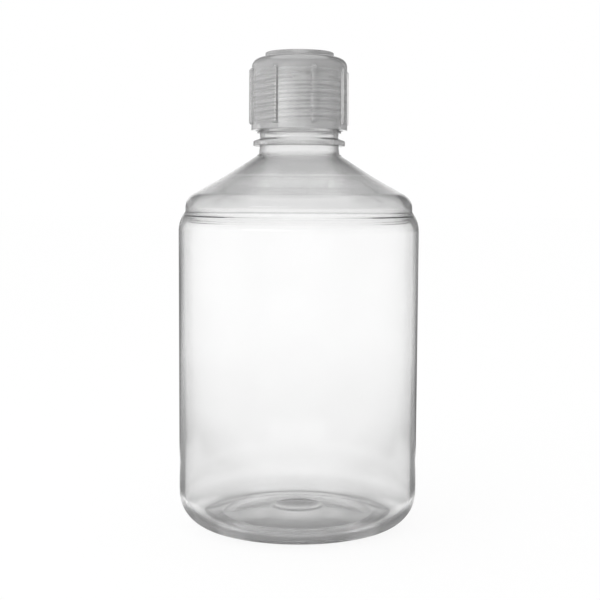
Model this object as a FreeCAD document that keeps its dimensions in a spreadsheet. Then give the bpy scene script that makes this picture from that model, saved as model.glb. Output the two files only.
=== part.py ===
import FreeCAD, Part
import math
import os

import Sketcher

# Driving dimensions, in millimetres and degrees.
# The bottle stands on its foot ring at height 0, with its axis on +Z.
SIZES = {
    # body of the bottle
    "body_radius": 80.0,
    "body_flare": 0.4,
    "body_wall": 3.3,
    "body_top": 198.0,
    "heel_radius": 22.4,
    "heel_inner_radius": 16.5,
    "heel_inner_angle": 77.0,
    # base of the bottle, pushed up inside the foot ring
    "foot_width": 8.0,
    "foot_wall": 6.5,
    "base_wall": 4.0,
    "base_rise": 8.0,
    "dome_radius": 300.0,
    "dimple_radius": 15.6,
    "dimple_depth": 2.2,
    # shoulder: a round, a hollow, a bead, and a hollow cone up to the neck
    "shoulder_radius": 20.0,
    "shoulder_angle": 37.7,
    "groove_radius": 2.0,
    "bead_foot": 1.88,
    "bead_radius": 10.5,
    "bead_angle": 64.0,
    "cone_rise": 25.2,
    "cone_radius": 560.0,
    "cone_top_angle": 56.2,
    # neck: a collar at its foot, a carrying flange and a stop ring
    "neck_radius": 26.2,
    "neck_wall": 3.0,
    "neck_taper": 0.1,
    "collar_depth": 2.0,
    "collar_height": 0.6,
    "collar_step": 1.2,
    "skirt_height": 6.0,
    "flange_depth": 4.4,
    "flange_edge": 2.7,
    "flange_round": 0.5,
    "flange_slope": 1.6,
    "stop_gap": 3.6,
    "stop_depth": 1.9,
    "stop_edge": 0.6,
    "stop_slope": 2.0,
    "rim_land": 3.4,
    "rim_round": 0.8,
    # screw thread with one right-hand start; its load flank faces down on the neck
    "thread_pitch": 5.08,
    "thread_depth": 2.3,
    "thread_crest": 1.0,
    "thread_load_slope": 0.5,
    "thread_lead_slope": 1.7,
    "thread_gap": 0.5,
    "thread_turns": 6.25,
    "thread_root": 0.4,
    "thread_clearance": 0.4,
    "cap_thread_short": 0.5,
    # sealing ring between the rim and the cap
    "gasket_thickness": 2.7,
    "gasket_clearance": 0.4,
    # screw cap with a raised disc on its top
    "cap_wall": 3.0,
    "cap_draft": 0.2,
    "cap_skirt_gap": 5.4,
    "cap_mouth_chamfer": 0.4,
    "cap_seat_depth": 5.4,
    "cap_round": 6.0,
    "cap_seat_ledge": 4.8,
    "disc_margin": 3.0,
    "disc_height": 3.6,
    "disc_round": 0.7,
    "disc_wall": 3.6,
    # grip ribs on the cap
    "rib_count": 8,
    "rib_phase": 16.5,
    "rib_width": 3.0,
    "rib_depth": 2.3,
    "rib_lift": 3.4,
    "rib_drop": 1.4,
    "rib_chamfer": 1.2,
    "rib_round": 0.7,
}

LEFT = 1
RIGHT = -1
TOLERANCE = 0.01


class Size:
    """A length or an angle: its present value, and the formula that ties it to the sheet."""

    def __init__(self, value, formula):
        self.value = value
        self.formula = formula

    def joined(self, sign, other, value):
        return Size(value, f"({self.formula} {sign} {formula_of(other)})")

    def __add__(self, other):
        return self.joined("+", other, self.value + value_of(other))

    def __sub__(self, other):
        return self.joined("-", other, self.value - value_of(other))

    def __mul__(self, other):
        return self.joined("*", other, self.value * value_of(other))

    def __truediv__(self, other):
        return self.joined("/", other, self.value / value_of(other))


def value_of(term):
    return term.value if isinstance(term, Size) else term


def formula_of(term):
    return term.formula if isinstance(term, Size) else repr(term)


def cosine(angle):
    return Size(math.cos(math.radians(angle.value)), f"cos({angle.formula})")


def sine(angle):
    return Size(math.sin(math.radians(angle.value)), f"sin({angle.formula})")


def bowl_radius(radius, depth):
    """Radius of the sphere that a round dimple of this radius and depth is part of."""
    return (radius * radius / depth + depth) / 2


def make_sheet(doc):
    """Write the driving dimensions to the sheet, and return them as sizes by name."""
    sheet = doc.addObject("Spreadsheet::Sheet", "Sizes")
    for row, (name, number) in enumerate(SIZES.items(), start=1):
        sheet.set(f"A{row}", name)
        sheet.set(f"B{row}", str(number))
        sheet.setAlias(f"B{row}", name)
    doc.recompute()
    return {name: Size(float(sheet.get(name)), f"Sizes.{name}") for name in SIZES}


def origin_plane(body, role):
    return next(plane for plane in body.Origin.OriginFeatures if plane.Role == role)


def arc_between(start, end, radius, turn):
    """The short arc from start to end, whose centre lies on the side that it turns to."""
    half = (end - start) * 0.5
    side = FreeCAD.Vector(-half.y, half.x, 0).normalize() * turn
    centre = start + half + side * math.sqrt(radius**2 - half.Length**2)
    first, last = (start, end) if turn == LEFT else (end, start)
    angles = [math.atan2(point.y - centre.y, point.x - centre.x) for point in (first, last)]
    return Part.ArcOfCircle(Part.Circle(centre, FreeCAD.Vector(0, 0, 1), radius), *angles)


def pin_corner(sketch, edge, end, radius, height):
    """Hold one end of an edge at its distance from the axis and its height."""
    for kind, axis, size in (("DistanceX", -2, radius), ("DistanceY", -1, height)):
        if size.value == 0:
            sketch.addConstraint(Sketcher.Constraint("PointOnObject", edge, end, axis))
            continue
        index = sketch.addConstraint(Sketcher.Constraint(kind, -1, 1, edge, end, size.value))
        sketch.setExpression(f"Constraints[{index}]", size.formula)


def draw_section(body, name, corners):
    """A closed section in the plane through the axis, from corners (radius, height).

    A corner with two more values, a side and a radius, starts an arc to the next corner.
    """
    sketch = body.newObject("Sketcher::SketchObject", name)
    sketch.AttachmentSupport = [(origin_plane(body, "XZ_Plane"), "")]
    sketch.MapMode = "FlatFace"
    points = [FreeCAD.Vector(corner[0].value, corner[1].value, 0) for corner in corners]
    ends = []
    for number, corner in enumerate(corners):
        start, end = points[number], points[(number + 1) % len(points)]
        if len(corner) == 2:
            edge = sketch.addGeometry(Part.LineSegment(start, end), False)
            ends.append((edge, 1, 2))
            continue
        turn, radius = corner[2:]
        edge = sketch.addGeometry(arc_between(start, end, radius.value, turn), False)
        index = sketch.addConstraint(Sketcher.Constraint("Radius", edge, radius.value))
        sketch.setExpression(f"Constraints[{index}]", radius.formula)
        ends.append((edge, 1, 2) if turn == LEFT else (edge, 2, 1))
    for number, corner in enumerate(corners):
        before, after = ends[number - 1], ends[number]
        sketch.addConstraint(Sketcher.Constraint("Coincident", before[0], before[2], after[0], after[1]))
        pin_corner(sketch, after[0], after[1], corner[0], corner[1])
    return sketch


def revolve(body, name, sketch):
    feature = body.newObject("PartDesign::Revolution", name)
    feature.Profile = sketch
    feature.ReferenceAxis = (sketch, ["V_Axis"])
    feature.Angle = 360
    return feature


def wind_ridge(body, name, sketch, pitch, turns):
    """Sweep a ridge section upwards along a right-hand helix about the axis."""
    feature = body.newObject("PartDesign::AdditiveHelix", name)
    feature.Profile = sketch
    feature.ReferenceAxis = (sketch, ["V_Axis"])
    feature.Mode = "pitch-turns-angle"
    feature.setExpression("Pitch", pitch.formula)
    feature.setExpression("Turns", turns.formula)
    return feature


def fit_sizes(sizes):
    """Sizes that several pieces share, worked out from the driving dimensions."""
    nothing = Size(0.0, "0")
    shared = {"axis": nothing, "ground": nothing}
    shared["bore"] = sizes["neck_radius"] - sizes["neck_wall"]
    shared["shoulder_top"] = sizes["body_top"] + sizes["shoulder_radius"] * sine(sizes["shoulder_angle"])
    shared["groove_top"] = shared["shoulder_top"] + sizes["groove_radius"] * sine(sizes["shoulder_angle"])
    shared["bead_bottom"] = shared["groove_top"] + sizes["bead_foot"]
    shared["bead_top"] = shared["bead_bottom"] + sizes["bead_radius"] * sine(sizes["bead_angle"])
    shared["neck_foot"] = shared["bead_top"] + sizes["cone_rise"]
    shared["collar_top"] = shared["neck_foot"] + sizes["collar_height"]
    shared["flange_bottom"] = shared["collar_top"] + sizes["skirt_height"]
    shared["flange_edge_top"] = shared["flange_bottom"] + sizes["flange_edge"]
    shared["flange_top"] = shared["flange_edge_top"] + sizes["flange_round"] + sizes["flange_slope"]
    shared["stop_bottom"] = shared["flange_top"] + sizes["stop_gap"]
    shared["stop_top"] = shared["stop_bottom"] + sizes["stop_edge"] + sizes["stop_slope"]
    shared["thread_bottom"] = shared["stop_top"] + sizes["thread_gap"]
    shared["ridge_width"] = sizes["thread_load_slope"] + sizes["thread_crest"] + sizes["thread_lead_slope"]
    shared["thread_top"] = (
        shared["thread_bottom"] + shared["ridge_width"] + sizes["thread_pitch"] * sizes["thread_turns"]
    )
    shared["rim"] = shared["thread_top"] + sizes["rim_land"]
    shared["crest_radius"] = sizes["neck_radius"] + sizes["thread_depth"]
    shared["cap_bore"] = shared["crest_radius"] + sizes["thread_clearance"]
    shared["cap_radius"] = shared["cap_bore"] + sizes["cap_wall"]
    shared["cap_bottom"] = shared["flange_top"] + sizes["cap_skirt_gap"]
    shared["seat"] = shared["rim"] + sizes["gasket_thickness"]
    shared["gasket_inner"] = shared["bore"] + sizes["gasket_clearance"]
    shared["cap_top"] = shared["seat"] + sizes["cap_seat_depth"]
    return shared


def bottle_section(sizes, shared):
    """Half section of the bottle: out along the base, up the outside, and down the inside."""
    wall = sizes["body_wall"]
    bore = shared["bore"]
    rim = shared["rim"]
    rim_round = sizes["rim_round"]
    neck = sizes["neck_radius"]

    foot_outer = sizes["body_radius"] - sizes["heel_radius"]
    foot_inner = foot_outer - sizes["foot_width"]
    inner_radius = sizes["body_radius"] - wall
    heel_inner = sizes["heel_inner_radius"]
    heel_cos, heel_sin = cosine(sizes["heel_inner_angle"]), sine(sizes["heel_inner_angle"])
    crease_radius = inner_radius - heel_inner + heel_inner * heel_cos
    base_top = sizes["base_wall"] + sizes["base_rise"]
    dimple_floor = base_top - sizes["dimple_depth"]
    dimple_bowl = bowl_radius(sizes["dimple_radius"], sizes["dimple_depth"])
    boss_radius = sizes["dimple_radius"] + sizes["base_wall"] / 2
    boss_bowl = bowl_radius(boss_radius, sizes["dimple_depth"])

    top_radius = sizes["body_radius"] + sizes["body_flare"]
    shoulder_centre = top_radius - sizes["shoulder_radius"]
    shoulder_inner = sizes["shoulder_radius"] - wall
    turn_out, turn_up = cosine(sizes["shoulder_angle"]), sine(sizes["shoulder_angle"])
    shoulder_out = shoulder_centre + sizes["shoulder_radius"] * turn_out

    groove_radius = sizes["groove_radius"]
    bead_out = shoulder_out - groove_radius + groove_radius * turn_out
    bead_up = shared["bead_bottom"]
    bead_centre = bead_out - sizes["bead_radius"]
    bead_inner = sizes["bead_radius"] - wall
    bead_cos, bead_sin = cosine(sizes["bead_angle"]), sine(sizes["bead_angle"])

    cone_cos, cone_sin = cosine(sizes["cone_top_angle"]), sine(sizes["cone_top_angle"])
    collar_radius = neck + sizes["collar_depth"]
    cone_inner_out = collar_radius - wall * cone_cos
    cone_inner_up = shared["neck_foot"] - wall * cone_sin
    flare_radius = (cone_inner_out - bore) / (Size(1.0, "1") - cone_cos)

    flange_radius = neck + sizes["flange_depth"]
    stop_radius = neck + sizes["stop_depth"]
    return [
        (foot_inner, shared["ground"]),
        (foot_outer, shared["ground"], LEFT, sizes["heel_radius"]),
        (sizes["body_radius"], sizes["heel_radius"]),
        (top_radius, sizes["body_top"], LEFT, sizes["shoulder_radius"]),
        (shoulder_out, shared["shoulder_top"], RIGHT, groove_radius),
        (bead_out, shared["groove_top"]),
        (bead_out, bead_up, LEFT, sizes["bead_radius"]),
        (bead_centre + sizes["bead_radius"] * bead_cos, shared["bead_top"], RIGHT, sizes["cone_radius"]),
        (collar_radius, shared["neck_foot"]),
        (collar_radius, shared["collar_top"]),
        (collar_radius - sizes["collar_step"], shared["collar_top"]),
        (neck + sizes["neck_taper"], shared["flange_bottom"]),
        (flange_radius, shared["flange_bottom"]),
        (flange_radius, shared["flange_edge_top"], LEFT, sizes["flange_round"]),
        (flange_radius - sizes["flange_round"], shared["flange_edge_top"] + sizes["flange_round"]),
        (neck, shared["flange_top"]),
        (neck, shared["stop_bottom"]),
        (stop_radius, shared["stop_bottom"]),
        (stop_radius, shared["stop_bottom"] + sizes["stop_edge"]),
        (neck, shared["stop_top"]),
        (neck, rim - rim_round, LEFT, rim_round),
        (neck - rim_round, rim),
        (bore + rim_round, rim, LEFT, rim_round),
        (bore, rim - rim_round),
        (bore, cone_inner_up + flare_radius * cone_sin, LEFT, flare_radius),
        (cone_inner_out, cone_inner_up, LEFT, sizes["cone_radius"] + wall),
        (bead_centre + bead_inner * bead_cos, bead_up + bead_inner * bead_sin, RIGHT, bead_inner),
        (bead_out - wall, bead_up),
        (bead_out - wall, shared["groove_top"], LEFT, groove_radius + wall),
        (shoulder_centre + shoulder_inner * turn_out, sizes["body_top"] + shoulder_inner * turn_up,
         RIGHT, shoulder_inner),
        (top_radius - wall, sizes["body_top"]),
        (inner_radius, sizes["foot_wall"] + heel_inner * heel_sin, RIGHT, heel_inner),
        (crease_radius, sizes["foot_wall"], LEFT, sizes["dome_radius"]),
        (sizes["dimple_radius"], base_top, RIGHT, dimple_bowl),
        (shared["axis"], dimple_floor),
        (shared["axis"], dimple_floor - sizes["base_wall"], LEFT, boss_bowl),
        (boss_radius, sizes["base_rise"], RIGHT, sizes["dome_radius"]),
    ]


def neck_ridge(sizes, shared):
    """Section of the thread ridge on the neck, rooted in the neck wall."""
    neck = sizes["neck_radius"]
    bottom = shared["thread_bottom"]
    crest_bottom = bottom + sizes["thread_load_slope"]
    crest_top = crest_bottom + sizes["thread_crest"]
    top = crest_top + sizes["thread_lead_slope"]
    return [
        (neck - sizes["thread_root"], bottom),
        (neck, bottom),
        (shared["crest_radius"], crest_bottom),
        (shared["crest_radius"], crest_top),
        (neck, top),
        (neck - sizes["thread_root"], top),
    ]


def cap_ridge(sizes, shared):
    """Section of the thread ridge in the cap, which fills the neck's groove less the clearance."""
    clearance = sizes["thread_clearance"]
    load_step = sizes["thread_load_slope"] * clearance / sizes["thread_depth"]
    lead_step = sizes["thread_lead_slope"] * clearance / sizes["thread_depth"]
    groove_bottom = shared["thread_bottom"] + sizes["thread_load_slope"] + sizes["thread_crest"]
    groove_top = shared["thread_bottom"] + sizes["thread_pitch"]
    root_bottom = groove_bottom - lead_step + clearance
    root_top = groove_top + sizes["thread_load_slope"] + load_step - clearance
    root_radius = shared["cap_bore"] + sizes["thread_root"]
    crest_radius = sizes["neck_radius"] + clearance
    return [
        (root_radius, root_bottom),
        (root_radius, root_top),
        (shared["cap_bore"], root_top),
        (crest_radius, groove_top + load_step - clearance),
        (crest_radius, root_bottom + sizes["thread_lead_slope"]),
        (shared["cap_bore"], root_bottom),
    ]


def gasket_section(sizes, shared):
    """Half section of the flat sealing ring that lies on the rim."""
    outer = shared["cap_bore"] - sizes["gasket_clearance"]
    return [
        (shared["gasket_inner"], shared["rim"]),
        (outer, shared["rim"]),
        (outer, shared["seat"]),
        (shared["gasket_inner"], shared["seat"]),
    ]


def cap_section(sizes, shared):
    """Half section of the cap without its ribs and thread."""
    radius = shared["cap_radius"]
    bore = shared["cap_bore"]
    bottom = shared["cap_bottom"]
    top = shared["cap_top"]
    disc_top = top + sizes["disc_height"]
    disc_radius = radius - sizes["cap_round"] - sizes["disc_margin"]
    recess = disc_top - sizes["disc_wall"]
    recess_radius = shared["gasket_inner"] - sizes["cap_seat_ledge"]
    chamfer = sizes["cap_mouth_chamfer"]
    return [
        (bore + chamfer, bottom),
        (radius + sizes["cap_draft"], bottom),
        (radius, top - sizes["cap_round"], LEFT, sizes["cap_round"]),
        (radius - sizes["cap_round"], top),
        (disc_radius, top),
        (disc_radius, disc_top - sizes["disc_round"], LEFT, sizes["disc_round"]),
        (disc_radius - sizes["disc_round"], disc_top),
        (shared["axis"], disc_top),
        (shared["axis"], recess),
        (recess_radius, recess),
        (recess_radius, shared["seat"]),
        (bore, shared["seat"]),
        (bore, bottom + chamfer),
    ]


def rib_section(sizes, shared):
    """Side outline of one grip rib, rooted half way into the cap's wall."""
    inner = shared["cap_bore"] + sizes["cap_wall"] / 2
    outer = shared["cap_radius"] + sizes["rib_depth"]
    bottom = shared["cap_bottom"] + sizes["rib_lift"]
    top = shared["cap_top"] - sizes["cap_round"] - sizes["rib_drop"]
    chamfer = sizes["rib_chamfer"]
    return [
        (inner, bottom),
        (outer - chamfer, bottom),
        (outer, bottom + chamfer),
        (outer, top - chamfer),
        (outer - chamfer, top),
        (inner, top),
    ]


def new_body(doc, label):
    body = doc.addObject("PartDesign::Body", label)
    body.Label = label
    body.Placement = FreeCAD.Placement()
    return body


def make_bottle(doc, sizes, shared):
    body = new_body(doc, "bottle")
    revolve(body, "bottle_wall", draw_section(body, "bottle_section", bottle_section(sizes, shared)))
    ridge = draw_section(body, "neck_ridge_section", neck_ridge(sizes, shared))
    wind_ridge(body, "neck_thread", ridge, sizes["thread_pitch"], sizes["thread_turns"])
    return body


def make_gasket(doc, sizes, shared):
    body = new_body(doc, "gasket")
    revolve(body, "gasket_ring", draw_section(body, "gasket_section", gasket_section(sizes, shared)))
    return body


def add_ribs(doc, body, sizes, shared):
    """One rib, turned to its place and repeated around the cap."""
    sketch = draw_section(body, "rib_section", rib_section(sizes, shared))
    sketch.AttachmentOffset = FreeCAD.Placement(FreeCAD.Vector(), FreeCAD.Rotation(FreeCAD.Vector(0, 1, 0), 1))
    sketch.setExpression("AttachmentOffset.Rotation.Angle", sizes["rib_phase"].formula)
    rib = body.newObject("PartDesign::Pad", "rib")
    rib.Profile = sketch
    rib.Midplane = True
    rib.setExpression("Length", sizes["rib_width"].formula)
    doc.recompute()
    pattern = body.newObject("PartDesign::PolarPattern", "ribs")
    pattern.Originals = [rib]
    pattern.Axis = (sketch, ["V_Axis"])
    pattern.Angle = 360
    pattern.setExpression("Occurrences", sizes["rib_count"].formula)
    body.Tip = pattern
    doc.recompute()
    round_ribs(body, pattern, sizes, shared)


def round_ribs(body, pattern, sizes, shared):
    """Round the two upright outer edges of every rib."""
    outer = shared["cap_radius"].value + sizes["rib_depth"].value
    corner = math.hypot(outer, sizes["rib_width"].value / 2)
    upright = [
        f"Edge{number}"
        for number, edge in enumerate(pattern.Shape.Edges, start=1)
        if all(abs(math.hypot(end.X, end.Y) - corner) < TOLERANCE for end in edge.Vertexes)
    ]
    fillet = body.newObject("PartDesign::Fillet", "rib_rounds")
    fillet.Base = (pattern, upright)
    fillet.setExpression("Radius", sizes["rib_round"].formula)
    body.Tip = fillet


def make_cap(doc, sizes, shared):
    body = new_body(doc, "screw_cap")
    revolve(body, "cap_wall", draw_section(body, "cap_section", cap_section(sizes, shared)))
    add_ribs(doc, body, sizes, shared)
    ridge = draw_section(body, "cap_ridge_section", cap_ridge(sizes, shared))
    turns = sizes["thread_turns"] - sizes["cap_thread_short"]
    thread = wind_ridge(body, "cap_thread", ridge, sizes["thread_pitch"], turns)
    body.Tip = thread
    return body


def check(doc, bodies):
    """Stop if anything failed to build, or a piece is not one sound solid."""
    failed = [item.Name for item in doc.Objects if {"Invalid", "Error"} & set(item.State)]
    if failed:
        raise RuntimeError(f"failed to build: {failed}")
    for body in bodies:
        if body.Shape.isNull() or not body.Shape.isValid() or len(body.Shape.Solids) != 1:
            raise RuntimeError(f"{body.Label} is not one sound solid")


def main():
    doc = FreeCAD.newDocument("reagent_bottle")
    sizes = make_sheet(doc)
    shared = fit_sizes(sizes)
    bodies = [make(doc, sizes, shared) for make in (make_bottle, make_gasket, make_cap)]
    doc.recompute()
    check(doc, bodies)
    os.makedirs("parts", exist_ok=True)
    for body in bodies:
        body.Shape.exportStep(f"parts/{body.Label}.step")


main()
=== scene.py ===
import math

import bpy
import numpy as np
from mathutils import Euler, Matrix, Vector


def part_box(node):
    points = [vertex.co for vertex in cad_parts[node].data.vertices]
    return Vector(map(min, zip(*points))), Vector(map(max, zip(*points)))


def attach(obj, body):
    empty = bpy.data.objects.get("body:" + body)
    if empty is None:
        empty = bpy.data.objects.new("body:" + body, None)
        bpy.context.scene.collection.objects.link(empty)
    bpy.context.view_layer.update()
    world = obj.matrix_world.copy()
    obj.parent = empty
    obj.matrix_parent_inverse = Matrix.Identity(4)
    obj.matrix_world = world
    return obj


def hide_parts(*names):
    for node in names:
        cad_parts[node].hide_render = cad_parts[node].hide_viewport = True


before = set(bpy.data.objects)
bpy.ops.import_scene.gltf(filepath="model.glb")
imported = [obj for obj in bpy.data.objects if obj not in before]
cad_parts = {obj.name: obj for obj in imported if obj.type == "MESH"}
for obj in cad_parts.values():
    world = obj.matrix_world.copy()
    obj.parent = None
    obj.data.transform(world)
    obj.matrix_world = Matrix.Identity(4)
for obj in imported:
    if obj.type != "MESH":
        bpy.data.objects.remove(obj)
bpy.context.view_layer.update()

# Sizes in millimetres and degrees; the meshes are written in metres.
MM = 0.001
bottle_box = [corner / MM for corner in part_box("bottle")]
gasket_box = [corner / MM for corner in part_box("gasket")]
cap_box = [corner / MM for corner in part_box("screw_cap")]

# bottle: body and base
TOP_RADIUS = bottle_box[1].x
FLARE = 0.4
BODY_RADIUS = TOP_RADIUS - FLARE
BODY_TOP = 198.0
WALL = 3.3
HEEL_RADIUS = 22.4
HEEL_INNER_RADIUS = 16.5
HEEL_INNER_ANGLE = 77.0
HEEL_SLACK = 0.1
CREASE_ROUND = 0.4
FOOT_WIDTH = 8.0
FOOT_WALL = 6.5
FOOT_ROUND = 3.0
BASE_WALL = 4.0
BASE_RISE = 8.0
DOME_RADIUS = 300.0
DIMPLE_RADIUS = 15.6
DIMPLE_DEPTH = 2.2
DIMPLE_ROUND = 5.0
# the slight unevenness of the blown wall: waves around it, their lean per millimetre, phase and share
WAVES = [(3, 0.021, 0.0, 1.0), (7, -0.034, 1.3, 0.6)]
WAVE_HEIGHT = 0.09
WAVE_FADE = 30.0
# bottle: shoulder and cone, whose wall leans from the upright by one angle at each end
SHOULDER_RADIUS = 20.0
SHOULDER_ANGLE = 39.1
SHOULDER_INNER_RADIUS = 14.0
SHOULDER_SLACK = 0.01
GROOVE_RADIUS = 0.5
GROOVE_INNER_RADIUS = 9.0
GROOVE_INNER_RISE = 1.03
BEAD_FOOT = 2.4
BEAD_RADIUS = 10.5
BEAD_INNER_RADIUS = 9.5
CONE_ANGLES = (61.4, 56.4)
CONE_ROUND = 400.0
CONE_TOP_RUN = 24.4
CONE_TOP_SLOPE = math.radians(90 - CONE_ANGLES[1])
# bottle: neck, with the rounds of each ring from its lower corner up
RIM = bottle_box[1].z
RIM_ROUND = 0.8
NECK_RADIUS = 26.2
NECK_WALL = 3.0
NECK_DRAFT = 0.1
NECK_FOOT = RIM - 56.45
BORE = NECK_RADIUS - NECK_WALL
BORE_FOOT_ROUND = 7.1
COLLAR_RADIUS = NECK_RADIUS + 2.0
COLLAR_STEP = 1.2
COLLAR_TOP = NECK_FOOT + 0.6
COLLAR_ROUNDS = (0.3, 0.2, 0.2)
FLANGE_RADIUS = NECK_RADIUS + 4.4
FLANGE_BOTTOM = COLLAR_TOP + 6.0
FLANGE_EDGE = FLANGE_BOTTOM + 3.1
FLANGE_TOP = FLANGE_BOTTOM + 4.8
FLANGE_ROUNDS = (0.5, 0.3, 0.5, 0.4)
STOP_RADIUS = NECK_RADIUS + 1.9
STOP_BOTTOM = FLANGE_TOP + 3.6
STOP_EDGE = STOP_BOTTOM + 0.6
STOP_TOP = STOP_BOTTOM + 2.6
STOP_ROUNDS = (0.4, 0.25, 0.3, 0.5)
# screw thread
PITCH = 5.08
THREAD_DEPTH = 2.3
THREAD_CREST = 1.0
LOAD_SLOPE = 0.5
LEAD_SLOPE = 1.7
THREAD_CLEARANCE = 0.4
NECK_TURNS = 6.25
CAP_TURNS = 5.75
THREAD_BOTTOM = STOP_TOP + 0.5
RUN_OUT = 14.0
# gasket
SEAT = gasket_box[1].z
GASKET_INNER = BORE + 0.4
GASKET_SLACK = 0.04
GASKET_ROUND = 0.4
# cap
CAP_BORE = NECK_RADIUS + THREAD_DEPTH + THREAD_CLEARANCE
CAP_WALL = 3.0
CAP_RADIUS = CAP_BORE + CAP_WALL
CAP_DRAFT = 0.2
CAP_BOTTOM = cap_box[0].z
MOUTH_CHAMFER = 0.4
MOUTH_ROUNDS = (0.15, 0.15, 0.3)
DISC_TOP = cap_box[1].z
CAP_TOP = DISC_TOP - 3.6
CAP_ROUND = 6.0
DISC_RADIUS = CAP_RADIUS - CAP_ROUND - 3.0
DISC_ROUNDS = (0.5, 0.7)
RECESS_RADIUS = GASKET_INNER - 4.8
RECESS_ROUNDS = (0.6, 0.4, 0.5)
# grip ribs: the foot as (distance from the side, height), and the heights at which an end changes slope
RIB_COUNT = 8
RIB_SECTOR = 360 / RIB_COUNT
RIB_PHASE = 16.5
RIB_WIDTH = 3.0
RIB_DEPTH = 2.3
RIB_ROUND = 0.7
RIB_ARC = 80.0
RIB_FOOT = [(0.05, 0.35), (0.15, 0.06), (0.4, 0.0)]
RIB_CHAMFER = 1.2
RIB_EDGE = 0.05
RIB_BOTTOM = CAP_BOTTOM + 3.4
RIB_TOP = CAP_TOP - CAP_ROUND - 1.4
RIB_ENDS = [
    RIB_BOTTOM, RIB_BOTTOM + RIB_EDGE, RIB_BOTTOM + RIB_CHAMFER,
    RIB_TOP - RIB_CHAMFER, RIB_TOP - RIB_EDGE, RIB_TOP,
]

# mesh spacing
BOTTLE_COLUMNS = 180
GASKET_COLUMNS = 96
PLAIN_POINTS = 14
RIB_POINTS = 5
BASE_POINTS = 9
ARC_STEP = 5.0
SMALL_ROUND = 2.0
SMALL_STEP = 15.0
STRAIGHT = 1e-4
LONGEST_RUN = 5.0
SHORT_RUN = 3.0
EDGE_LOOP = 0.25
THREAD_ROW = 0.35
# the heights between which rows carry the threads, and how near a point on a wall has to be to it
NECK_ROWS = (STOP_TOP + 0.4, RIM - 1.6)
CAP_ROWS = (CAP_BOTTOM + MOUTH_CHAMFER + 0.4, SEAT - 0.9)
ON_WALL = 0.01
WALL_MARGIN = 0.2
RIB_MARGIN = 0.1

# plastic: graphs of (place, value), with place as a height or a distance from the axis in millimetres
PLASTIC_IOR = 1.49
GRAIN_RANGE = (0.3, 0.7)
# painted shade in the bottle's colour: greyer bands by height over the bead, cone and collar, and a darker
# dimple by distance from the axis
WALL_PAINTED_SHADE = [
    (0.0, 1.0), (210.0, 1.0), (214.0, 0.93), (222.0, 0.83), (226.0, 0.83), (231.0, 0.87),
    (237.0, 0.74), (240.0, 0.78), (243.0, 0.71), (245.5, 0.77), (248.0, 0.98), (305.0, 0.98),
]
# painted shade: the middle of the base's dimple darkened, where the hollow looks dark
DIMPLE_PAINTED_SHADE = [(0.0, 0.72), (12.0, 0.72), (15.5, 1.0), (90.0, 1.0)]
# its haze by height, stronger where the wall is stretched less
WALL_HAZE = [
    (0.0, 0.06), (12.0, 0.06), (24.0, 0.01), (202.0, 0.01), (206.0, 0.1), (210.0, 0.2),
    (212.5, 0.2), (214.0, 0.04), (218.0, 0.02), (235.0, 0.03), (243.0, 0.14), (256.0, 0.15),
    (258.5, 0.25), (260.2, 0.1), (263.0, 0.1), (264.0, 0.2), (267.0, 0.2), (271.0, 0.12), (305.0, 0.12),
]
# how clear it is by height, and where the heel is milky, by height and by distance
WALL_CLEAR = [(0.0, 0.94), (246.0, 0.94), (252.0, 0.9), (305.0, 0.9)]
HEEL_HEIGHT = [(8.0, 1.0), (16.0, 0.0)]
HEEL_REACH = [(56.0, 0.0), (62.0, 1.0)]
HEEL_CLEAR = (0.94, 0.8)
BOTTLE_GRAIN = 26.0
BOTTLE_TONES = (1.0, 0.985)
BOTTLE_ROUGHNESS = (0.0, 0.02)
BOTTLE_ABSORPTION = 1.5
# the cap's clearness by height, and painted shade in its colour, darker towards the top
CAP_CLEAR = [(0.0, 0.82), (300.0, 0.82), (307.0, 0.6), (320.0, 0.6)]
CAP_PAINTED_SHADE = [(0.0, 1.0), (300.0, 1.0), (307.0, 0.72), (320.0, 0.72)]
CAP_GRAIN = 60.0
CAP_TONES = (0.96, 0.91)
CAP_ROUGHNESS = (0.05, 0.09)
CAP_COAT_ROUGHNESS = 0.06
CAP_ABSORPTION = 3.0
# the gasket's rubber
RUBBER_GRAIN = 400.0
RUBBER_TONES = (0.78, 0.7)
RUBBER_ROUGHNESS = (0.55, 0.7)

# light: graphs of (place, brightness), with 1 as white
CAMERA_GLOW = 0.9
SEEN_GLOW = 0.85
FLOOR_SIZE = 60.0
FLOOR_DROP = 0.2
# painted shadow and light on the floor, by distance from the axis in metres, for light that comes straight
# through the plastic: dark under the bottle and darkest around its foot, brighter than white farther off
PAINTED_FLOOR_THROUGH = [
    (0.0, 0.6), (0.012, 0.56), (0.028, 0.28), (0.066, 0.21), (0.078, 1.0), (0.16, 1.08), (0.4, 1.1),
    (1.3, 1.16), (2.0, 1.18),
]
# and for light that a surface has mirrored, painted likewise: a dark ring and a brighter band under and close
# to the bottle, and darker towards the bottle farther off
PAINTED_FLOOR_UNDER = [(0.04, 1.0), (0.055, 0.46), (0.08, 0.5), (0.11, 1.2), (0.24, 1.2), (0.32, 0.0)]
PAINTED_FLOOR_FAR = [(0.15, 0.22), (0.2, 0.4), (0.45, 0.6), (1.0, 1.0)]
# painted shade and light on the floor by the sine of its angle to either side, and at which distances that
# counts, straight through: darker to the sides, and brighter to the sides near the foot
PAINTED_SIDES_THROUGH = [(0.17, 1.0), (0.27, 0.92), (0.34, 0.86), (1.0, 0.86)]
SIDE_RANGE = [(0.1, 0.0), (0.2, 1.0), (0.33, 1.0), (0.5, 0.0)]
PAINTED_NEAR_SIDES = [(0.0, 0.85), (0.7, 0.85), (0.85, 1.6), (1.0, 1.8)]
NEAR_RANGE = [(0.02, 0.0), (0.028, 1.0), (0.07, 1.0), (0.09, 0.0)]
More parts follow.
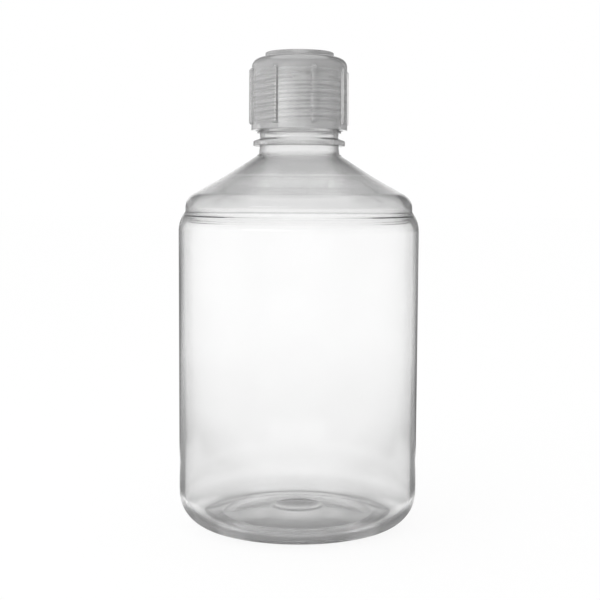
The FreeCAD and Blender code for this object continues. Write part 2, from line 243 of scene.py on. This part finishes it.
# and mirrored: painted shade to the sides under the bottle, and beside the heel a brighter band between
# darker ones
PAINTED_UNDER_SIDES = [(0.5, 1.0), (0.66, 0.3), (0.8, 0.2), (1.0, 0.2)]
UNDER_RANGE = [(0.11, 0.0), (0.15, 1.0)]
PAINTED_HEEL_SIDES = [(0.0, 0.8), (0.45, 0.8), (0.55, 1.6), (0.72, 1.6), (0.8, 0.6), (1.0, 0.6)]
HEEL_RANGE = [(0.05, 0.0), (0.06, 1.0), (0.085, 1.0), (0.1, 0.0)]
# the sky straight through the plastic, by the sine of its elevation and of its angle to the right
STRAIGHT_SKY = [(0.0, 1.15), (0.1, 1.15), (0.4, 1.1), (0.7, 0.8), (1.0, 0.7)]
RIGHT_SKY = [(0.3, 1.0), (0.55, 0.4)]
# the mirrored sky: a panel behind the bottle, by elevation and by angle to either side or the front
PANEL_HEIGHT = [
    (0.045, 0.0), (0.07, 1.0), (0.17, 1.0), (0.3, 0.8), (0.4, 0.62), (0.47, 0.3), (0.6, 0.12),
]
PANEL_WIDTH = [(0.27, 1.0), (0.37, 0.35), (0.6, 0.2)]
# the room around it likewise, both by angle to the right, and the ceiling by elevation
ROOM_HEIGHT = [(0.1, 1.0), (0.5, 0.5), (0.75, 0.1)]
ROOM_WIDTH = [(0.0, 1.0), (0.1, 1.0), (0.2, 0.3), (0.45, 0.3), (0.55, 0.6), (1.0, 0.8)]
RIGHT_SHADE = [(0.2, 1.0), (0.34, 0.6), (1.0, 0.6)]
CEILING = [(0.74, 0.0), (0.84, 1.0)]
# light on dull surfaces, from the left (0) to the right (2)
PLAIN_LIGHT = [(0.0, 1.1), (1.2, 1.1), (2.0, 0.3)]
# a lamp's brightness from one of its sides to the other and from its bottom to its top
LAMP_ACROSS = [(0.0, 0.0), (0.06, 1.0), (0.35, 0.9), (1.0, 0.0)]
LAMP_UP = [(0.0, 0.0), (0.35, 1.0), (0.65, 1.0), (1.0, 0.0)]
LAMP_DISTANCE = 1.4

# camera, in metres and degrees
CAMERA_PLACE = (0, -0.84138, 0.21351)
CAMERA_TILT = 85.78
CAMERA_PAN = -0.073
CAMERA_ROLL = 0.28
CAMERA_LENS = 75.0
CAMERA_SENSOR = 36.0
CAMERA_REACH = 200.0


def rounded(corners):
    """Points along a section through corners (radius, height, round), each rounded off."""
    corners = np.array(corners, float)
    points = [corners[0, :2]]
    for before, corner, after in zip(corners, corners[1:], corners[2:]):
        place, size = corner[:2], corner[2]
        back, ahead = before[:2] - place, after[:2] - place
        back, ahead = back / np.linalg.norm(back), ahead / np.linalg.norm(ahead)
        turn = math.pi - math.acos(np.clip(back @ ahead, -1, 1))
        if size == 0 or turn < STRAIGHT:
            points.append(place)
            continue
        reach = size * math.tan(turn / 2)
        middle = (back + ahead) / np.linalg.norm(back + ahead)
        centre = place + middle * size / math.cos(turn / 2)
        start = place + back * reach - centre
        end = place + ahead * reach - centre
        step = ARC_STEP if size > SMALL_ROUND else SMALL_STEP
        steps = max(2, math.ceil(math.degrees(turn) / step))
        for share in np.linspace(0, 1, steps + 1):
            weights = math.sin((1 - share) * turn), math.sin(share * turn)
            points.append(centre + (start * weights[0] + end * weights[1]) / math.sin(turn))
    points.append(corners[-1, :2])
    return np.array(points)


def spaced(points):
    """The same line with long runs divided, and a loop close to each of their ends."""
    line = [points[0]]
    for start, end in zip(points, points[1:]):
        length = np.linalg.norm(end - start)
        if length > SHORT_RUN:
            edge = EDGE_LOOP / length
            count = max(1, math.ceil(length / LONGEST_RUN))
            for share in np.linspace(edge, 1 - edge, count + 1):
                line.append(start + (end - start) * share)
        line.append(end)
    return np.array(line)


def upright(radius, bottom, top):
    """Rows up a straight wall, close enough to carry a thread."""
    heights = np.linspace(bottom, top, math.ceil((top - bottom) / THREAD_ROW) + 1)
    return np.column_stack([np.full_like(heights, radius), heights])


def with_rounds(places, rounds):
    """Corners of a section, from their places and the round at each."""
    return [(*place, size) for place, size in zip(places, rounds)]


def thread_height(angle, height, bottom, widths, turns):
    """How far a right-hand thread's ridge stands off its wall, with its ends run out."""
    knots = np.cumsum([0.0, *widths])
    shape = np.array([0.0, 1.0, 1.0, 0.0]) * THREAD_DEPTH
    ridge = np.zeros(np.broadcast(angle, height).shape)
    for lap in range(math.ceil(turns)):
        wound = np.degrees(angle) + 360 * lap
        ends = np.minimum(wound, 360 * turns - wound) / RUN_OUT
        above = height - bottom - PITCH * wound / 360
        ridge = np.maximum(ridge, np.interp(above, knots, shape) * np.clip(ends, 0, 1))
    return ridge


def lathe(name, line, angles, relief, ring=False):
    """A smooth mesh of a section line turned about the axis, with relief added to its radius."""
    angle, height = np.meshgrid(angles, line[:, 1])
    radius = np.repeat(line[:, :1], len(angles), axis=1)
    radius = radius + np.where(radius > 0, relief(angle, radius, height), 0)
    places = np.stack([radius * np.cos(angle), radius * np.sin(angle), height], axis=2) * MM
    rows, columns = radius.shape
    number = np.arange(rows * columns).reshape(rows, columns)
    for pole in (0, rows - 1):
        if line[pole, 0] == 0:
            number[pole] = number[pole, 0]
    used, number = np.unique(number, return_inverse=True)
    number = number.reshape(rows, columns)
    below = number if ring else number[:-1]
    above = np.roll(number, -1, axis=0) if ring else number[1:]
    quads = np.stack([below, np.roll(below, -1, 1), np.roll(above, -1, 1), above], axis=2)
    faces = [list(dict.fromkeys(quad)) for quad in quads.reshape(-1, 4).tolist()]
    mesh = bpy.data.meshes.new(name)
    mesh.from_pydata(places.reshape(-1, 3)[used].tolist(), [], faces)
    mesh.shade_smooth()
    piece = bpy.data.objects.new(name, mesh)
    bpy.context.scene.collection.objects.link(piece)
    return piece


def even_angles(count):
    return np.arange(count) * math.tau / count


def no_relief(angle, radius, height):
    return 0 * angle


def offset(corner, distance, angle):
    """A corner moved inwards along a wall's normal, which rises at angle from the horizontal."""
    return corner - distance * np.array([math.cos(math.radians(angle)), math.sin(math.radians(angle))])


def tangent(angle):
    """How far from its rounded corner an arc of radius 1 starts, for a turn by angle."""
    return math.tan(math.radians(angle) / 2)


def arch(start, end):
    """Corners between start and end along the base's dome."""
    start, along = np.array(start), np.subtract(end, start)
    half = np.linalg.norm(along) / 2
    up = np.array([abs(along[1]), abs(along[0])]) / (2 * half)
    sink = math.sqrt(DOME_RADIUS**2 - half**2)
    shares = np.linspace(0, 1, BASE_POINTS)[1:-1]
    rises = np.sqrt(DOME_RADIUS**2 - (half * (2 * shares - 1)) ** 2) - sink
    return [(*(start + along * share + up * rise), 0) for share, rise in zip(shares, rises)]


def bowl(radius, depth, top):
    """Corners down the side of a round dimple, from its edge to its middle."""
    sphere = (radius * radius / depth + depth) / 2
    centre = top - depth + sphere
    outs = np.linspace(radius, 0, BASE_POINTS)[1:]
    places = [(out, centre - math.sqrt(sphere * sphere - out * out), 0) for out in outs]
    return [(radius, top, DIMPLE_ROUND), *places]


def groove_end():
    """Radius and height at which the hollow above the shoulder runs into the bead's upright foot."""
    turn = math.radians(SHOULDER_ANGLE)
    whole = SHOULDER_RADIUS + GROOVE_RADIUS
    return TOP_RADIUS - whole * (1 - math.cos(turn)), BODY_TOP + whole * math.sin(turn)


def cone_corner():
    """Where the tangents at the cone's two ends meet, from its top end at the collar."""
    out = CONE_TOP_RUN * math.cos(CONE_TOP_SLOPE)
    down = CONE_TOP_RUN * math.sin(CONE_TOP_SLOPE)
    return COLLAR_RADIUS + out, NECK_FOOT - down


def outer_corners():
    """The outside of the bottle from the middle of its base up to the stop ring."""
    foot_outer = BODY_RADIUS - HEEL_RADIUS
    foot_inner = foot_outer - FOOT_WIDTH
    boss_radius = DIMPLE_RADIUS + BASE_WALL / 2
    bead_out, groove_top = groove_end()
    bead_corner = groove_top + BEAD_FOOT + BEAD_RADIUS * tangent(CONE_ANGLES[0])
    collar = [
        (COLLAR_RADIUS, NECK_FOOT),
        (COLLAR_RADIUS, COLLAR_TOP),
        (COLLAR_RADIUS - COLLAR_STEP, COLLAR_TOP),
    ]
    flange = [
        (NECK_RADIUS + NECK_DRAFT, FLANGE_BOTTOM),
        (FLANGE_RADIUS, FLANGE_BOTTOM),
        (FLANGE_RADIUS, FLANGE_EDGE),
        (NECK_RADIUS, FLANGE_TOP),
    ]
    stop = [
        (NECK_RADIUS, STOP_BOTTOM),
        (STOP_RADIUS, STOP_BOTTOM),
        (STOP_RADIUS, STOP_EDGE),
        (NECK_RADIUS, STOP_TOP),
    ]
    return [
        *reversed(bowl(boss_radius, DIMPLE_DEPTH, BASE_RISE)),
        *arch((boss_radius, BASE_RISE), (foot_inner, 0)),
        (foot_inner, 0, FOOT_ROUND),
        (BODY_RADIUS, 0, HEEL_RADIUS),
        (TOP_RADIUS, BODY_TOP + SHOULDER_RADIUS * tangent(SHOULDER_ANGLE), SHOULDER_RADIUS),
        (bead_out, groove_top - GROOVE_RADIUS * tangent(SHOULDER_ANGLE), GROOVE_RADIUS),
        (bead_out, bead_corner, BEAD_RADIUS),
        (*cone_corner(), CONE_ROUND),
        *with_rounds(collar, COLLAR_ROUNDS),
        *with_rounds(flange, FLANGE_ROUNDS),
        *with_rounds(stop, STOP_ROUNDS),
        (NECK_RADIUS, NECK_ROWS[0], 0),
    ]


def inner_corners():
    """The rim and the inside of the bottle, down to the middle of its base."""
    bead_out, groove_top = groove_end()
    bead_corner = groove_top + BEAD_FOOT + (BEAD_RADIUS - WALL) * tangent(CONE_ANGLES[0])
    # behind the groove, one round for the groove and one for the shoulder that run into each other
    both_rounds = SHOULDER_INNER_RADIUS + GROOVE_INNER_RADIUS
    turn = math.acos(1 - (TOP_RADIUS - bead_out) / both_rounds)
    turn_top = groove_top + GROOVE_INNER_RISE
    turn_bottom = turn_top - both_rounds * math.sin(turn)
    groove_corner = turn_top - GROOVE_INNER_RADIUS * math.tan(turn / 2)
    shoulder_corner = turn_bottom + SHOULDER_INNER_RADIUS * math.tan(turn / 2)
    cone_inner = offset(np.array(cone_corner()), WALL, sum(CONE_ANGLES) / 2)
    bore_foot = cone_inner[1] + (cone_inner[0] - BORE) * math.tan(CONE_TOP_SLOPE)
    base_top = BASE_WALL + BASE_RISE
    inner_radius = BODY_RADIUS - WALL
    heel_turn = math.radians(HEEL_INNER_ANGLE)
    crease_radius = inner_radius - HEEL_INNER_RADIUS * (1 - math.cos(heel_turn))
    heel_corner = FOOT_WALL + (inner_radius - crease_radius) / math.tan(heel_turn)
    # the slack keeps a round a little shorter than the room between its corners
    return [
        (NECK_RADIUS, NECK_ROWS[1], 0),
        (NECK_RADIUS, RIM, RIM_ROUND),
        (BORE, RIM, RIM_ROUND),
        (BORE, bore_foot, BORE_FOOT_ROUND),
        (*cone_inner, CONE_ROUND),
        (bead_out - WALL, bead_corner, BEAD_INNER_RADIUS),
        (bead_out - WALL, groove_corner, GROOVE_INNER_RADIUS),
        (TOP_RADIUS - WALL, shoulder_corner, SHOULDER_INNER_RADIUS - SHOULDER_SLACK),
        (inner_radius, heel_corner, HEEL_INNER_RADIUS - HEEL_SLACK),
        (crease_radius, FOOT_WALL, CREASE_ROUND),
        *arch((crease_radius, FOOT_WALL), (DIMPLE_RADIUS, base_top)),
        *bowl(DIMPLE_RADIUS, DIMPLE_DEPTH, base_top),
    ]


def bottle_relief(angle, radius, height):
    """The neck's thread, and the slight unevenness of the blown inner wall."""
    widths = (LOAD_SLOPE, THREAD_CREST, LEAD_SLOPE)
    thread = thread_height(angle, height, THREAD_BOTTOM, widths, NECK_TURNS)
    on_neck = np.abs(radius - NECK_RADIUS) < ON_WALL
    on_neck &= (height > STOP_TOP) & (height < RIM - RIM_ROUND)
    on_body = radius > BODY_RADIUS - WALL - WALL_MARGIN
    on_body &= radius < TOP_RADIUS - WALL + WALL_MARGIN
    swell = np.clip(np.minimum(height - HEEL_RADIUS, BODY_TOP - height) / WAVE_FADE, 0, 1)
    waves = sum(
        share * np.sin(count * angle + lean * height + phase) for count, lean, phase, share in WAVES
    )
    return np.where(on_neck, thread, 0) + np.where(on_body, WAVE_HEIGHT * swell * waves, 0)


def make_bottle():
    outer = spaced(rounded(outer_corners()))
    thread_rows = upright(NECK_RADIUS, *NECK_ROWS)
    inner = spaced(rounded(inner_corners()))
    line = np.vstack([outer[:-1], thread_rows, inner[1:]])
    return lathe("bottle_body", line, even_angles(BOTTLE_COLUMNS), bottle_relief)


def make_gasket():
    outer = gasket_box[1].x
    low, high = RIM + GASKET_SLACK, SEAT - GASKET_SLACK
    middle = (GASKET_INNER + outer) / 2
    edges = [(outer, low), (outer, high), (GASKET_INNER, high), (GASKET_INNER, low)]
    seam = (middle, low, 0)
    corners = [seam, *with_rounds(edges, [GASKET_ROUND] * len(edges)), seam]
    line = spaced(rounded(corners))[:-1]
    return lathe("seal_ring", line, even_angles(GASKET_COLUMNS), no_relief, ring=True)


def rib_shape():
    """Half the cross-section of a rib: distances from its middle, and heights there."""
    arc = np.radians(np.linspace(0, RIB_ARC, RIB_POINTS))
    across = RIB_WIDTH / 2 - RIB_ROUND + RIB_ROUND * np.sin(arc)
    rise = RIB_DEPTH - RIB_ROUND + RIB_ROUND * np.cos(arc)
    foot_out, foot_rise = np.transpose(RIB_FOOT)
    places = np.concatenate([[0], across, RIB_WIDTH / 2 + foot_out])
    return places, np.concatenate([[RIB_DEPTH], rise, foot_rise])


def rib_angles():
    """Angles of the cap's mesh columns, closest at the edges of the ribs."""
    across = np.degrees(rib_shape()[0] / CAP_RADIUS)
    plain = np.linspace(across[-1], RIB_SECTOR / 2, PLAIN_POINTS)[1:]
    half = np.concatenate([across, plain])
    whole = np.concatenate([-half[-2:0:-1], half])
    turns = RIB_PHASE + RIB_SECTOR * np.arange(RIB_COUNT)
    return np.sort(np.radians((turns[:, None] + whole[None, :]).ravel() % 360))


def cap_relief(angle, radius, height):
    """The ribs outside the cap, and its thread inside."""
    from_rib = (np.degrees(angle) - RIB_PHASE + RIB_SECTOR / 2) % RIB_SECTOR - RIB_SECTOR / 2
    ribs = np.interp(np.abs(np.radians(from_rib)) * CAP_RADIUS, *rib_shape())
    cut = RIB_DEPTH - RIB_CHAMFER
    limit = np.interp(height, RIB_ENDS, [0, cut, RIB_DEPTH, RIB_DEPTH, cut, 0])
    outside = radius > CAP_BORE + CAP_WALL / 2
    outside &= (height > RIB_BOTTOM - RIB_MARGIN) & (height < RIB_TOP + RIB_MARGIN)

    share = THREAD_CLEARANCE / THREAD_DEPTH
    root_bottom = THREAD_BOTTOM + LOAD_SLOPE + THREAD_CREST + THREAD_CLEARANCE - LEAD_SLOPE * share
    root_top = THREAD_BOTTOM + PITCH + LOAD_SLOPE * (1 + share) - THREAD_CLEARANCE
    crest = root_top - root_bottom - LEAD_SLOPE - LOAD_SLOPE
    widths = (LEAD_SLOPE, crest, LOAD_SLOPE)
    thread = thread_height(angle, height, root_bottom, widths, CAP_TURNS)
    in_bore = (np.abs(radius - CAP_BORE) < ON_WALL) & (height > CAP_BOTTOM + MOUTH_CHAMFER)
    return np.where(outside, np.minimum(ribs, limit), 0) - np.where(in_bore, thread, 0)


def make_cap():
    lowest_row, highest_row = CAP_ROWS
    recess = [(RECESS_RADIUS, CAP_TOP), (RECESS_RADIUS, SEAT), (CAP_BORE, SEAT)]
    inside = [(0, CAP_TOP, 0), *with_rounds(recess, RECESS_ROUNDS), (CAP_BORE, highest_row, 0)]
    mouth = [
        (CAP_BORE, CAP_BOTTOM + MOUTH_CHAMFER),
        (CAP_BORE + MOUTH_CHAMFER, CAP_BOTTOM),
        (CAP_RADIUS + CAP_DRAFT, CAP_BOTTOM),
    ]
    skirt = sorted([*RIB_ENDS, RIB_BOTTOM + RIB_CHAMFER / 2, RIB_TOP - RIB_CHAMFER / 2])
    skirt_top = CAP_TOP - CAP_ROUND
    lean = CAP_DRAFT / (skirt_top - CAP_BOTTOM)
    disc = [(DISC_RADIUS, CAP_TOP), (DISC_RADIUS, DISC_TOP)]
    outside = [
        (CAP_BORE, lowest_row, 0),
        *with_rounds(mouth, MOUTH_ROUNDS),
        *[(CAP_RADIUS + lean * (skirt_top - height), height, 0) for height in skirt],
        (CAP_RADIUS, CAP_TOP, CAP_ROUND),
        *with_rounds(disc, DISC_ROUNDS),
        (0, DISC_TOP, 0),
    ]
    bore_rows = upright(CAP_BORE, lowest_row, highest_row)[::-1]
    line = np.vstack([spaced(rounded(inside))[:-1], bore_rows, spaced(rounded(outside))[1:]])
    return lathe("cap_shell", line, rib_angles(), cap_relief)


def add_node(tree, kind, **settings):
    """A new node with its own settings or its unlinked inputs set by name."""
    node = tree.nodes.new(kind)
    for name, value in settings.items():
        if hasattr(node, name):
            setattr(node, name, value)
        else:
            node.inputs[name.replace("_", " ")].default_value = value
    return node


def linked(tree, kind, *sources, **settings):
    """A new node's output, with its first inputs set, each to a number or to another node's output."""
    node = add_node(tree, kind, **settings)
    for socket, source in zip(node.inputs, sources):
        if isinstance(source, (int, float, tuple)):
            socket.default_value = source
        else:
            tree.links.new(source, socket)
    return node.outputs[0]


def math_node(tree, operation, *sources):
    return linked(tree, "ShaderNodeMath", *sources, operation=operation)


def product(tree, first, *others):
    for other in others:
        first = math_node(tree, "MULTIPLY", first, other)
    return first


def blend(tree, share, first, second):
    """The first value where share is 0, and the second where it is 1."""
    change = math_node(tree, "SUBTRACT", second, first)
    return math_node(tree, "ADD", math_node(tree, "MULTIPLY", change, share), first)


def ramp(tree, source, low, high, ends):
    """A value that goes from one end to the other as source goes from low to high."""
    shade = add_node(tree, "ShaderNodeMapRange", From_Min=low, From_Max=high)
    shade.inputs["To Min"].default_value, shade.inputs["To Max"].default_value = ends
    tree.links.new(source, shade.inputs["Value"])
    return shade.outputs["Result"]


def graph(tree, source, points):
    """Straight runs between points (place, value), with source as the place; places from 0 up."""
    longest = max(place for place, value in points)
    share = math_node(tree, "DIVIDE", source, longest)
    curve = add_node(tree, "ShaderNodeValToRGB")
    tree.links.new(share, curve.inputs["Fac"])
    elements = curve.color_ramp.elements
    elements.remove(elements[1])
    elements[0].position = points[0][0] / longest
    for place, value in points[1:]:
        elements.new(place / longest)
    for element, (place, value) in zip(elements, points):
        element.color = (value, value, value, 1.0)
    return curve.outputs["Color"]


def axes(tree, vector):
    """The X, Y and Z outputs of a vector."""
    split = add_node(tree, "ShaderNodeSeparateXYZ")
    tree.links.new(vector, split.inputs[0])
    return split.outputs


def length_of(tree, vector):
    measure = add_node(tree, "ShaderNodeVectorMath", operation="LENGTH")
    tree.links.new(vector, measure.inputs[0])
    return measure.outputs["Value"]


def noise(tree, place, **settings):
    grain = add_node(tree, "ShaderNodeTexNoise", **settings)
    tree.links.new(place, grain.inputs["Vector"])
    return grain.outputs["Fac"]


def new_material(name):
    """A material, its nodes, its shader and output, and the place in the piece's own space."""
    material = bpy.data.materials.new(name)
    material.use_nodes = True
    tree = material.node_tree
    place = add_node(tree, "ShaderNodeTexCoord").outputs["Object"]
    return material, tree, tree.nodes["Principled BSDF"], tree.nodes["Material Output"], place


def plastic(name, grain_scale, absorption):
    """A see-through plastic: its material, nodes, shader, place, noise and height in millimetres."""
    material, tree, shader, output, place = new_material(name)
    shader.inputs["IOR"].default_value = PLASTIC_IOR
    grain = noise(tree, place, Scale=grain_scale, Detail=4.0, Roughness=0.6)
    inside = add_node(
        tree, "ShaderNodeVolumeAbsorption", Density=absorption, Color=(0.0, 0.0, 0.0, 1.0)
    )
    tree.links.new(inside.outputs["Volume"], output.inputs["Volume"])
    height = math_node(tree, "DIVIDE", axes(tree, place)["Z"], MM)
    return material, tree, shader, place, grain, height


def clear_plastic():
    material, tree, shader, place, grain, height = plastic(
        "clear_plastic", BOTTLE_GRAIN, BOTTLE_ABSORPTION
    )
    flat = linked(tree, "ShaderNodeVectorMath", place, (1.0, 1.0, 0.0), operation="MULTIPLY")
    radius = math_node(tree, "DIVIDE", length_of(tree, flat), MM)
    mottle = ramp(tree, grain, *GRAIN_RANGE, BOTTLE_TONES)
    # painted shade: the plastic's colour darkened in bands by height and in the dimple
    painted_shade = product(tree, graph(tree, height, WALL_PAINTED_SHADE), graph(tree, radius, DIMPLE_PAINTED_SHADE))
    tree.links.new(product(tree, mottle, painted_shade), shader.inputs["Base Color"])
    heel = product(tree, graph(tree, height, HEEL_HEIGHT), graph(tree, radius, HEEL_REACH))
    milky = ramp(tree, heel, 0.0, 1.0, HEEL_CLEAR)
    clear = math_node(tree, "MINIMUM", milky, graph(tree, height, WALL_CLEAR))
    tree.links.new(clear, shader.inputs["Transmission Weight"])
    satin = ramp(tree, grain, *GRAIN_RANGE, BOTTLE_ROUGHNESS)
    haze = math_node(tree, "ADD", satin, graph(tree, height, WALL_HAZE))
    tree.links.new(haze, shader.inputs["Roughness"])
    return material


def satin_plastic():
    material, tree, shader, _, grain, height = plastic("satin_plastic", CAP_GRAIN, CAP_ABSORPTION)
    shader.inputs["Coat Weight"].default_value = 1.0
    shader.inputs["Coat Roughness"].default_value = CAP_COAT_ROUGHNESS
    mottle = ramp(tree, grain, *GRAIN_RANGE, CAP_TONES)
    # painted shade: the cap's colour darkened towards its top
    tree.links.new(product(tree, mottle, graph(tree, height, CAP_PAINTED_SHADE)), shader.inputs["Base Color"])
    tree.links.new(graph(tree, height, CAP_CLEAR), shader.inputs["Transmission Weight"])
    tree.links.new(ramp(tree, grain, *GRAIN_RANGE, CAP_ROUGHNESS), shader.inputs["Roughness"])
    return material


def soft_rubber():
    material, tree, shader, _, place = new_material("soft_rubber")
    grain = noise(tree, place, Scale=RUBBER_GRAIN, Detail=3.0)
    tree.links.new(ramp(tree, grain, *GRAIN_RANGE, RUBBER_TONES), shader.inputs["Base Color"])
    tree.links.new(ramp(tree, grain, *GRAIN_RANGE, RUBBER_ROUGHNESS), shader.inputs["Roughness"])
    return material


def light_path(tree):
    """The light path node, and 1 for light that a surface has mirrored on its way to the eye."""
    path = add_node(tree, "ShaderNodeLightPath")
    return path, math_node(tree, "MINIMUM", path.outputs["Glossy Depth"], 1.0)


def sideways(tree, direction):
    """How far a direction points to the right, to either side or the front, and up, as sines."""
    unit = axes(tree, linked(tree, "ShaderNodeVectorMath", direction, operation="NORMALIZE"))
    front = math_node(tree, "MULTIPLY", unit["Y"], -1.0)
    side = math_node(tree, "MAXIMUM", math_node(tree, "ABSOLUTE", unit["X"]), front)
    return unit["X"], side, unit["Z"]


def make_floor():
    """A white floor that glows towards the camera, so that only a faint shadow shows on it; seen through the
    plastic, it carries painted shadow and light by place.
    """
    material, tree, shader, output, place = new_material("pale_floor")
    tree.nodes.remove(shader)
    path, mirrored_share = light_path(tree)
    across, side, _ = sideways(tree, place)
    aside = math_node(tree, "ABSOLUTE", across)
    away = length_of(tree, place)

    def by_side(reach, tones):
        """Brightness by the angle to the side, which counts only at distances within reach."""
        return blend(tree, graph(tree, away, reach), 1.0, graph(tree, aside, tones))

    # painted shadow and light on the floor by place, for light straight through the plastic and for mirrored
    # light
    straight = product(
        tree, graph(tree, away, PAINTED_FLOOR_THROUGH), by_side(SIDE_RANGE, PAINTED_SIDES_THROUGH), by_side(NEAR_RANGE, PAINTED_NEAR_SIDES)
    )
    under = product(
        tree, graph(tree, away, PAINTED_FLOOR_UNDER), by_side(UNDER_RANGE, PAINTED_UNDER_SIDES), by_side(HEEL_RANGE, PAINTED_HEEL_SIDES)
    )
    far = product(tree, graph(tree, away, PAINTED_FLOOR_FAR), graph(tree, side, ROOM_WIDTH))
    mirrored = math_node(tree, "MAXIMUM", under, far)
    through = blend(tree, mirrored_share, straight, mirrored)
    seen = path.outputs["Is Camera Ray"]
    brightness = blend(tree, seen, through, 1.0)
    glow_strength = product(tree, brightness, blend(tree, seen, SEEN_GLOW, CAMERA_GLOW))
    paint = add_node(tree, "ShaderNodeBsdfDiffuse")
    tree.links.new(math_node(tree, "SUBTRACT", brightness, glow_strength), paint.inputs["Color"])
    glow = add_node(tree, "ShaderNodeEmission")
    tree.links.new(glow_strength, glow.inputs["Strength"])
    both = linked(tree, "ShaderNodeAddShader", paint.outputs[0], glow.outputs[0])
    tree.links.new(both, output.inputs["Surface"])
    bpy.ops.mesh.primitive_plane_add(size=FLOOR_SIZE, location=(0, 0, -FLOOR_DROP * MM))
    floor = bpy.context.object
    floor.name = "floor"
    floor.data.materials.append(material)


def make_world():
    """White for the camera; through the plastic, a light panel behind the bottle in a dimmer room."""
    world = bpy.data.worlds.new("studio")
    bpy.context.scene.world = world
    world.use_nodes = True
    tree = world.node_tree
    path, mirrored_share = light_path(tree)
    across, side, rise = sideways(tree, add_node(tree, "ShaderNodeTexCoord").outputs["Generated"])
    straight = product(tree, graph(tree, rise, STRAIGHT_SKY), graph(tree, across, RIGHT_SKY))
    panel = product(tree, graph(tree, rise, PANEL_HEIGHT), graph(tree, side, PANEL_WIDTH))
    room = product(tree, graph(tree, side, ROOM_WIDTH), graph(tree, rise, ROOM_HEIGHT))
    walls = product(tree, math_node(tree, "MAXIMUM", panel, room), graph(tree, across, RIGHT_SHADE))
    mirrored = math_node(tree, "MAXIMUM", walls, graph(tree, rise, CEILING))
    through = blend(tree, mirrored_share, straight, mirrored)
    plain = graph(tree, math_node(tree, "ADD", across, 1.0), PLAIN_LIGHT)
    lit = blend(tree, path.outputs["Is Diffuse Ray"], through, plain)
    background = tree.nodes["Background"]
    tree.links.new(blend(tree, path.outputs["Is Camera Ray"], lit, 1.0), background.inputs["Color"])
    background.inputs["Strength"].default_value = 1.0


def make_lamp(name, azimuth, elevation, size, power, mirrored):
    """A soft rectangular lamp that faces the middle of the bottle; azimuth 0 is the camera's side."""
    light = bpy.data.lights.new(name, "AREA")
    light.shape = "RECTANGLE"
    light.size, light.size_y = size
    light.energy = power
    light.use_nodes = True
    tree = light.node_tree
    spot = axes(tree, add_node(tree, "ShaderNodeNewGeometry").outputs["Parametric"])
    strength = product(tree, graph(tree, spot["X"], LAMP_ACROSS), graph(tree, spot["Y"], LAMP_UP))
    tree.links.new(strength, tree.nodes["Emission"].inputs["Strength"])
    lamp = bpy.data.objects.new(name, light)
    bpy.context.scene.collection.objects.link(lamp)
    turn, rise = math.radians(azimuth), math.radians(elevation)
    away = (math.sin(turn) * math.cos(rise), -math.cos(turn) * math.cos(rise), math.sin(rise))
    lamp.location = [LAMP_DISTANCE * share for share in away]
    lamp.location.z += RIM * MM / 2
    lamp.rotation_euler = (math.pi / 2 - rise, 0, turn)
    lamp.visible_camera = False
    lamp.visible_glossy = mirrored
    lamp.visible_transmission = False


def make_camera():
    data = bpy.data.cameras.new("camera")
    data.lens = CAMERA_LENS
    data.sensor_width = CAMERA_SENSOR
    data.clip_end = CAMERA_REACH
    camera = bpy.data.objects.new("camera", data)
    bpy.context.scene.collection.objects.link(camera)
    camera.location = CAMERA_PLACE
    tilt, pan, roll = map(math.radians, (CAMERA_TILT, CAMERA_PAN, CAMERA_ROLL))
    aim = Euler((tilt, 0, pan)).to_matrix() @ Euler((0, 0, roll)).to_matrix()
    camera.rotation_euler = aim.to_euler()
    bpy.context.scene.camera = camera


def dress(piece, material, body, node):
    piece.data.materials.append(material)
    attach(piece, body)
    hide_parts(node)


dress(make_bottle(), clear_plastic(), "bottle", "bottle")
dress(make_gasket(), soft_rubber(), "gasket", "gasket")
dress(make_cap(), satin_plastic(), "cap", "screw_cap")
make_floor()
make_world()
make_lamp("key", azimuth=-33, elevation=20, size=(1.0, 0.8), power=10.0, mirrored=False)
make_lamp("strip", azimuth=-26, elevation=10.6, size=(1.3, 0.17), power=2.0, mirrored=True)
make_camera()
bpy.context.scene.view_settings.view_transform = "Standard"
